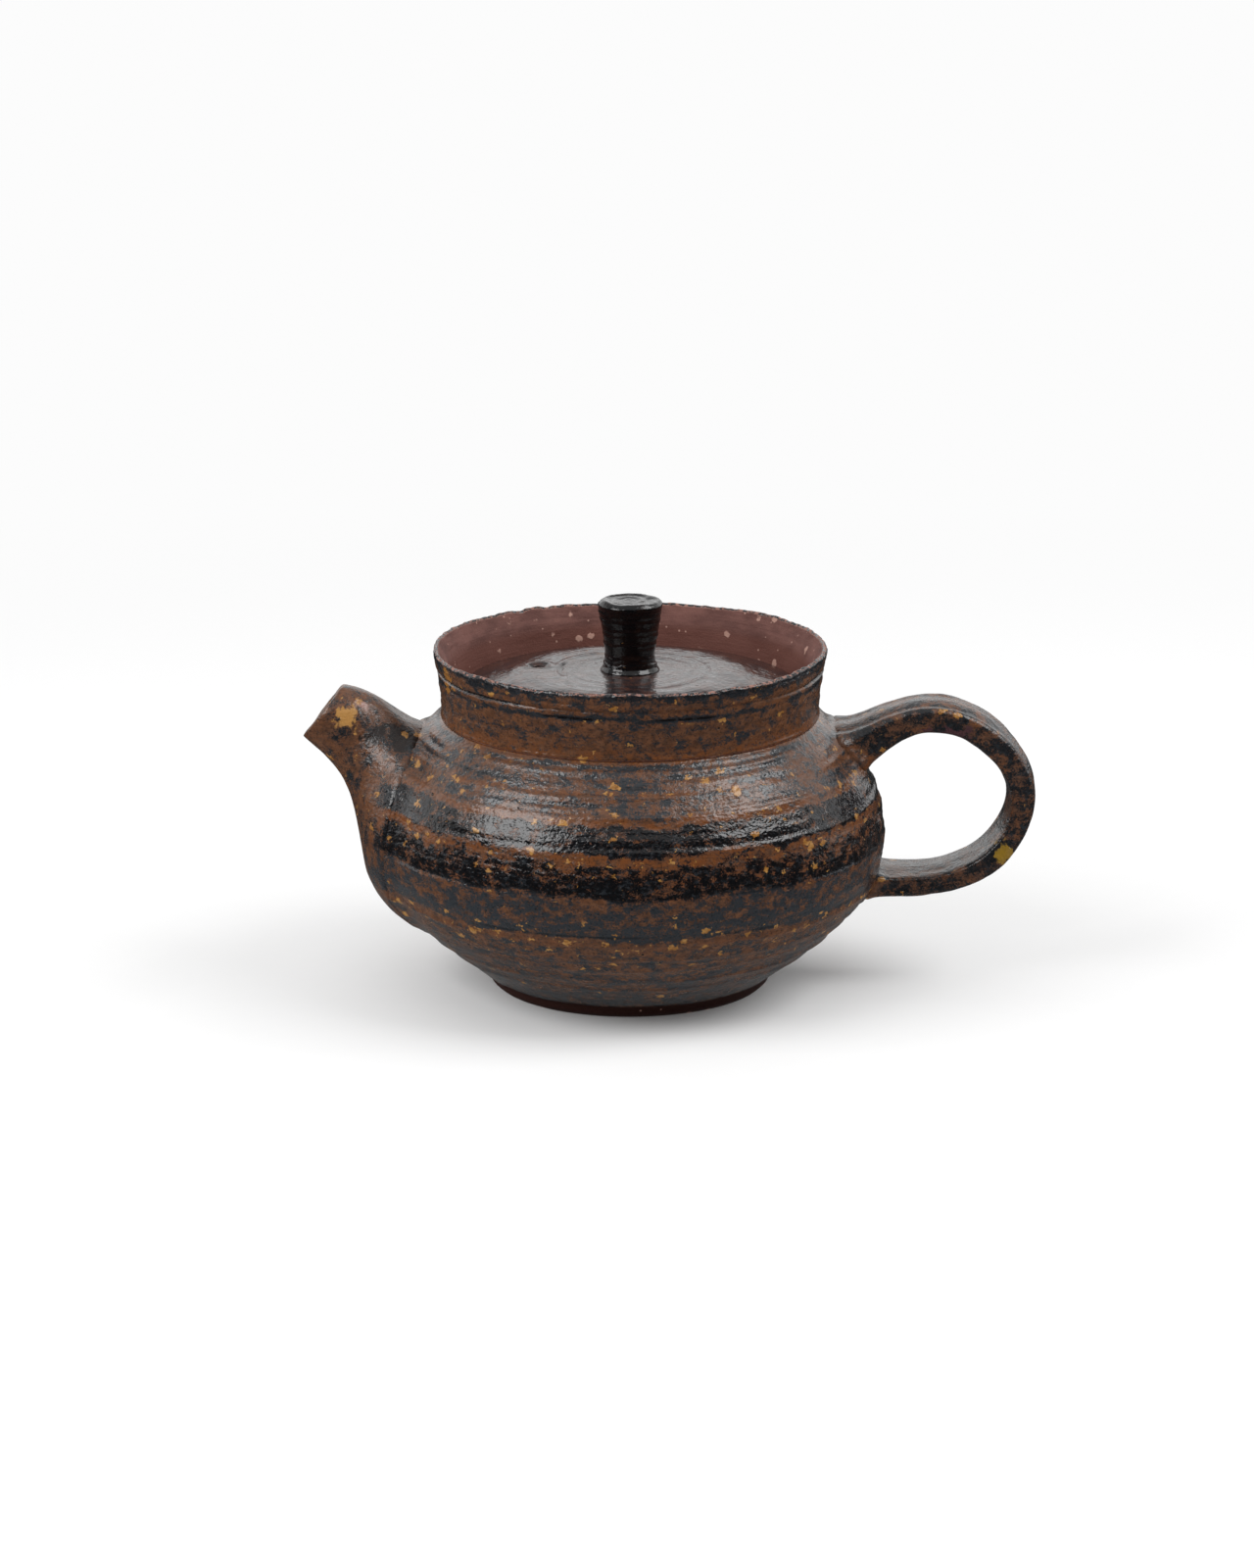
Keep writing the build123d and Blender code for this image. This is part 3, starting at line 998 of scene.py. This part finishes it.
def mottling(g, mm, blotch, dark, pool_and_groove_shade):
    """Where the glaze goes dark: blotches, streaks from the wheel and a fine grain, steered by the bands, and
    deeper in the scored lines, where pooled glaze carries painted groove shade.
    """
    streak = g.noise(g.stretch(g.shift(mm, 5, 9, 3), 9, 9, 0.8), 4.0, 0.6)
    broad = g.noise(g.stretch(g.shift(mm, 31, 7, 12), 11, 11, 4), 2.0)
    grain = g.noise(g.stretch(mm, 0.36, 0.36, 0.3), 2.0, 0.6)
    mottle = g.add(g.times(blotch, 0.76), g.times(streak, 0.11), g.times(broad, 0.13))
    grain = g.times(g.add(grain, -0.5), 0.26)
    steer = g.times(g.add(dark, -0.5), 0.27)
    # Pooled glaze in the scored lines darkens the mottling, and also paints the grooves' shade.
    return g.add(mottle, grain, steer, g.times(pool_and_groove_shade, 0.10))


def fired_colour(g, mm, tones, fine, mottle, dark_mask, rust, deepness):
    """Brown, rusty in places, going over to slate or black where the glaze is dark, and peppered."""
    brown = g.mix(g.step(fine, 0.36, 0.62), tones["umber"], tones["brown"])
    rust_noise = g.noise(g.stretch(g.shift(mm, 8, 1, 2), 2.2, 2.2, 1.2), 4.0, 0.65)
    rusty = g.times(g.step(rust_noise, 0.36, 0.58), rust)
    brown = g.mix(rusty, brown, tones["rust"])
    deep = g.mix(deepness, tones["slate"], tones["black"])
    deep = g.mix(g.times(g.step(fine, 0.50, 0.66), 0.7), deep, tones["slate"])
    thin_mask = g.step(mottle, 0.41, 0.54)
    colour = g.mix(g.times(thin_mask, 0.22), brown, tones["slate"])
    colour = g.mix(dark_mask, colour, deep)
    speckle = g.noise(g.stretch(g.shift(mm, 4, 6, 8), 0.5, 0.5, 0.42), 4.0, 0.75)
    colour = g.mix(g.step(speckle, 0.50, 0.68, 0.0, 0.7), colour, tones["black"])
    return g.mix(g.times(g.step(speckle, 0.46, 0.30, 0.0, 0.45), dark_mask), colour, tones["umber"])


def ochre_flakes(g, mm, colour, ochre, fine):
    """Lays large and small ochre flakes over the glaze."""
    large = flakes(g, mm, ochre, 2.9, 0.14, 0.36)
    small = flakes(g, mm, g.times(ochre, 0.7), 1.4, 0.10, 0.22)
    ochre_colour = g.mix(g.step(fine, 0.38, 0.60), OCHRE_DEEP, OCHRE)
    return g.mix(g.times(g.math("MAXIMUM", large, small), 0.9), colour, ochre_colour)


def pits(g, mm):
    """A mask of pinholes in the glaze."""
    far, chance, _ = g.cells(g.stretch(g.shift(mm, 7, 7, 7), 3.4, 3.4, 3.0))
    return g.times(g.step(far, 0.11, 0.05), g.step(chance, 0.72, 0.76))


def glaze_relief(g, mm, dark_mask, pit, skin):
    """Orange peel, a finer crawl, pinholes and faint turned rings, in millimetres."""
    peel = g.noise(g.stretch(mm, 1.1, 1.1, 0.9), 2.0, 0.5)
    crawl = g.times(g.noise(g.stretch(mm, 0.6, 0.6, 0.5), 1.0, 0.5), g.add(0.055, g.times(dark_mask, 0.035)))
    rings = g.noise(g.stretch(g.shift(mm, 2, 2, 2), 14, 14, 0.8), 1.5, 0.5)
    relief = g.add(g.times(peel, 0.16), crawl, g.times(pit, -0.20), g.times(rings, 0.045))
    return g.times(relief, skin)


def glaze_levels(g, mm, levels, rooted):
    """Darkness, ochre, rust and depth: the turned bands, or a piece's own levels, or one into the other."""
    if levels is None:
        return banded_levels(g, mm)
    if not rooted:
        return levels
    root = g.attribute("root")
    return [g.blend(root, own, band) for own, band in zip(levels, banded_levels(g, mm))]


def glaze(name, tones, levels=None, grain_size=BAND_GRAIN, gloss=0.19, skin=1.0, patches=(), rooted=False):
    """Iron glaze: brown broken to blue-black, with rust, ochre flakes, pits and an orange-peel skin.
    Without levels it follows the turned bands, and so does a rooted piece near the belly. Patches are
    (place, radius, colour)."""
    material, g = new_material(name)
    place = g.node("ShaderNodeTexCoord").outputs["Object"]
    mm = g.stretch(place, MM, MM, MM)
    dark, ochre, rust, depth = glaze_levels(g, mm, levels, rooted)
    # Scored lines darken the glaze: partly glaze pooled in them, partly painted shade of the groove.
    pool_and_groove_shade = g.math("MINIMUM", g.attribute("pool_and_groove_shade"), 1.0)
    blotch = g.noise(g.stretch(g.warp(mm, 1.6, 0.9), *grain_size), 8.0, 0.67)
    mottle = mottling(g, mm, blotch, dark, pool_and_groove_shade)
    dark_mask = g.step(mottle, 0.455, 0.555)
    fine = g.noise(g.stretch(g.shift(mm, 3, 4, 5), 1.5, 1.5, 1.0), 5.0, 0.68)
    # The scored lines also deepen the dark colour, as pooled glaze and painted groove shade.
    colour = fired_colour(g, mm, tones, fine, mottle, dark_mask, rust, g.math("MAXIMUM", depth, pool_and_groove_shade))
    for spot, radius, patch_colour in patches:
        colour = patch(g, mm, colour, blotch, spot, radius, patch_colour)
    colour = ochre_flakes(g, mm, colour, ochre, fine)
    pit = pits(g, mm)
    colour = g.mix(pit, colour, HOLE_BLACK)
    rough = g.blend(dark_mask, gloss + 0.05, gloss - 0.04)
    rough = g.add(rough, g.times(g.add(g.noise(g.stretch(mm, 3.5, 3.5, 1.6), 3.0), -0.5), 0.25))
    finish_material(g, mm, colour, glaze_relief(g, mm, dark_mask, pit, skin), rough)
    return material


def bare_clay(g, mm, mark_value):
    """Colour and relief of unglazed stoneware, with pale grog in it."""
    cloud = g.noise(g.stretch(mm, 7, 7, 3), 4.0, 0.6)
    colour = g.mix(g.step(cloud, 0.35, 0.7), CLAY, CLAY_DARK)
    seat = box_mm("lid")[1].z
    low = g.step(g.height(mm), seat + 1.2, seat - 0.6)
    colour = g.mix(g.times(low, 0.7), colour, CLAY_RED)
    # Where the rim's glaze has worn through, the clay is paler.
    worn = g.times(g.step(mark_value, 0.10, 0.25), g.step(mark_value, 0.85, 0.6))
    colour = g.mix(worn, colour, CLAY_CHIP)
    # Towards the bottom the clay goes over to the foot colour: its own dark red-brown, with painted shade
    # near the floor.
    colour = g.mix(g.step(g.height(mm), 6.0, 3.0), colour, FOOT_CLAY_SHADED)
    far, chance, _ = g.cells(g.stretch(g.warp(mm, 1.2, 0.8), 4.6, 4.6, 4.6))
    speck = g.times(g.step(far, 0.18, 0.13), g.step(chance, 0.10, 0.14))
    far2, chance2, _ = g.cells(g.stretch(g.shift(mm, 3, 5, 7), 1.3, 1.3, 1.3))
    speck2 = g.times(g.step(far2, 0.20, 0.12), g.step(chance2, 0.84, 0.88))
    colour = g.mix(g.times(g.math("MAXIMUM", speck, speck2), 0.75), colour, CLAY_SPECK)
    grit = g.noise(g.stretch(mm, 0.5, 0.5, 0.5), 3.0, 0.7)
    turning = g.noise(g.stretch(mm, 12, 12, 0.7), 3.0, 0.6)
    return colour, g.add(g.times(grit, 0.12), g.times(turning, 0.12), g.times(speck, 0.06))


GLAZE_IOR = 1.48
CLAY_ROUGHNESS = 0.72
GLAZE_SPECULAR = 0.5
CLAY_SPECULAR = 0.2


def finish_material(g, mm, colour, relief, rough):
    """Joins glaze and bare clay by the piece's bare mark, with a broken edge, and ends in one surface."""
    mark_value = g.attribute("bare")
    clay_colour, clay_relief = bare_clay(g, mm, mark_value)
    ragged = g.noise(g.stretch(mm, 0.8, 0.8, 0.6), 4.0, 0.65)
    bare = g.step(g.add(mark_value, g.times(g.add(ragged, -0.5), 1.1)), 0.46, 0.56)
    height = g.blend(bare, relief, clay_relief)
    inputs = {
        "Base Color": g.mix(bare, colour, clay_colour),
        "Roughness": g.math("MAXIMUM", g.blend(bare, rough, CLAY_ROUGHNESS), 0.08),
        "IOR": GLAZE_IOR,
        "Specular IOR Level": g.blend(bare, GLAZE_SPECULAR, CLAY_SPECULAR),
        "Normal": g.node("ShaderNodeBump", {"Height": height, "Strength": 1.0, "Distance": MM}).outputs[0],
    }
    surface = g.node("ShaderNodeBsdfPrincipled", inputs)
    g.node("ShaderNodeOutputMaterial", {0: surface.outputs[0]})


# ---- the pieces

BODY_PATCHES = [((-36.6, -15.0, 63.4), 2.8, OCHRE_DEEP)]
SPOUT_PATCHES = [
    ((-46.5, -8.0, 45.5), 3.0, IRON["rust"]),
    ((-43.5, -8.0, 51.0), 3.6, IRON["black"]),
    ((-49.0, -6.5, 50.5), 2.6, IRON["black"]),
    ((-55.2, -6.0, 54.0), 2.3, OCHRE),
    ((-51.5, -5.0, 57.2), 1.3, CLAY_CHIP),
]
HANDLE_PATCHES = [
    ((62.0, -6.5, 48.5), 4.2, (0.060, 0.024, 0.030)),
    ((72.7, -6.5, 27.5), 1.9, (0.270, 0.160, 0.016)),
    ((44.5, -5.0, 45.0), 3.0, IRON["rust"]),
]
# A piece's own levels of darkness, ochre, rust and depth, and the size of its mottling
HANDLE_LEVELS = (0.58, 0.4, 0.5, 0.7)
HANDLE_GRAIN = (3.0, 3.0, 3.0)
SPOUT_LEVELS = (0.35, 0.5, 0.4, 0.5)
SPOUT_GRAIN = (2.6, 2.6, 4.0)
LID_LEVELS = (0.55, 0.0, 0.3, 0.5)
LID_GRAIN = (2.6, 2.6, 2.6)
KNOB_LEVELS = (0.60, 0.0, 0.3, 0.5)
KNOB_GRAIN = (2.2, 2.2, 2.2)

body_glaze = glaze("iron_glaze_banded", IRON, patches=BODY_PATCHES)
hand_glaze = glaze(
    "iron_glaze_handle", IRON, HANDLE_LEVELS, HANDLE_GRAIN, gloss=0.25, patches=HANDLE_PATCHES, rooted=True
)
spout_glaze = glaze(
    "iron_glaze_spout", IRON, SPOUT_LEVELS, SPOUT_GRAIN, gloss=0.25, patches=SPOUT_PATCHES, rooted=True
)
lid_glaze = glaze("lid_glaze", LID, LID_LEVELS, LID_GRAIN, gloss=0.10, skin=0.45)
knob_glaze = glaze("knob_glaze", KNOB, KNOB_LEVELS, KNOB_GRAIN, gloss=0.12, skin=0.60)
clay = glaze("bare_clay", IRON, (0.5, 0.2, 0.3, 0.3))

add_piece("belly", make_body_mesh(), "pot", "body", body_glaze)
add_piece("collar", make_collar_mesh(), "pot", "neck_collar", body_glaze)
add_piece("pouring_spout", make_spout_mesh(), "pot", "spout", spout_glaze)
add_piece("strap_handle", make_handle_mesh(), "pot", "handle", hand_glaze)
add_piece("pierced_strainer", make_strainer_mesh(), "pot", "strainer", clay)
add_piece("domed_lid", make_lid_mesh(), "lid", "lid", lid_glaze)
add_piece("knob", make_knob_mesh(), "lid", "lid_knob", knob_glaze)


# ---- the studio

# Half the floor's side, in metres
FLOOR_SIZE = 6.0
# The sheet's own colours
FLOOR_GREY = (0.84, 0.84, 0.84)
FLOOR_PALE = (0.86, 0.86, 0.86)
# Strength of the far floor and the backdrop
FLOOR_WHITE = 0.973
# How far that even white lightens the shadows, under the foot and round the pot
FLOOR_LIFT = (0.08, 0.40)
# Strength of the floor as glossy reflections see it, near the pot and further away
FLOOR_SHEEN = (0.16, 0.03)
WALL_LIGHT = 1.18
CEILING_LIGHT = 0.60
FRONT_LIGHT = 0.02


def floor_material():
    """A matt sheet near the pot, which goes over to an even white further away. Glossy reflections see
    a dimmer floor, as if a dark card lay just outside the picture."""
    material, g = new_material("pale_floor")
    place = g.node("ShaderNodeTexCoord").outputs["Object"]
    tooth = g.noise(g.stretch(place, 0.004, 0.004, 0.004), 3.0)
    grey = g.mix(tooth, FLOOR_GREY, FLOOR_PALE)
    sheet = g.node(
        "ShaderNodeBsdfPrincipled", {"Base Color": grey, "Roughness": 0.9, "Specular IOR Level": 0.1}
    )
    even = g.node("ShaderNodeEmission", {"Color": (1, 1, 1, 1), "Strength": FLOOR_WHITE})
    reach = g.vector_math("LENGTH", place, output="Value")
    sheen = g.step(reach, 0.06, 0.13, *FLOOR_SHEEN)
    dim = g.node("ShaderNodeEmission", {"Color": (1, 1, 1, 1), "Strength": sheen})
    near = g.step(reach, 0.03, 0.07, *FLOOR_LIFT)
    far = g.math("MAXIMUM", near, g.step(reach, 0.13, 0.45))
    faded = g.node("ShaderNodeMixShader", {0: far, 1: sheet.outputs[0], 2: even.outputs[0]})
    glossy = g.node("ShaderNodeLightPath").outputs["Is Glossy Ray"]
    shown = g.node("ShaderNodeMixShader", {0: glossy, 1: faded.outputs[0], 2: dim.outputs[0]})
    g.node("ShaderNodeOutputMaterial", {0: shown.outputs[0]})
    return material


def make_floor():
    bm = bmesh.new()
    bmesh.ops.create_grid(bm, x_segments=8, y_segments=8, size=FLOOR_SIZE)
    mesh = bpy.data.meshes.new("floor")
    bm.to_mesh(mesh)
    bm.free()
    mesh.materials.append(floor_material())
    in_scene("floor", mesh)


def make_world():
    """A pale room: a bright wall behind up to head height, a dimmer ceiling, and dark in front."""
    world = bpy.data.worlds.new("studio")
    bpy.context.scene.world = world
    world.use_nodes = True
    g = Graph(world.node_tree)
    way = g.node("ShaderNodeTexCoord").outputs["Generated"]
    split = g.node("ShaderNodeSeparateXYZ", {"Vector": way})
    wall = g.times(g.step(split.outputs[1], -0.10, 0.35), g.step(split.outputs[2], 0.66, 0.44))
    ceiling = g.step(split.outputs[2], 0.52, 0.76)
    lit = g.add(FRONT_LIGHT, g.times(wall, WALL_LIGHT), g.times(ceiling, CEILING_LIGHT))
    seen = g.node("ShaderNodeLightPath").outputs["Is Camera Ray"]
    strength = g.blend(seen, lit, FLOOR_WHITE)
    background = g.node("ShaderNodeBackground", {"Color": (1, 1, 1, 1), "Strength": strength})
    g.node("ShaderNodeOutputWorld", {0: background.outputs[0]})


def softbox(name, direction, radiance, distance=1.2, width=0.80, height=0.62):
    """A soft area light aimed at the pot."""
    light = bpy.data.lights.new(name, "AREA")
    light.shape = "RECTANGLE"
    light.size, light.size_y = width, height
    light.energy = radiance * math.pi * width * height
    lamp = in_scene(name, light)
    way = Vector(direction).normalized()
    lamp.location = CENTRE + way * distance
    aim(lamp, way)


CAMERA_LENS = 118.8
CAMERA_SHIFT = (-0.0019, 0.0202)
CAMERA_TARGET = Vector((0, 0, 0.033))
CAMERA_TILT = math.radians(15.64)
CAMERA_DISTANCE = 1.015


def make_camera():
    """A long lens a little above the rim, square to the spout and the handle."""
    data = bpy.data.cameras.new("camera")
    data.lens = CAMERA_LENS
    data.sensor_width = 36.0
    data.shift_x, data.shift_y = CAMERA_SHIFT
    data.clip_end = 50.0
    camera = in_scene("camera", data)
    back = Vector((0, -math.cos(CAMERA_TILT), math.sin(CAMERA_TILT)))
    camera.location = CAMERA_TARGET + back * CAMERA_DISTANCE
    aim(camera, back)
    bpy.context.scene.camera = camera


make_floor()
make_world()
softbox("softbox_left", (-0.71, -0.37, 0.60), 6.4)
softbox("softbox_right", (0.66, -0.14, 0.74), 6.0)
make_camera()
bpy.context.scene.view_settings.view_transform = "Standard"
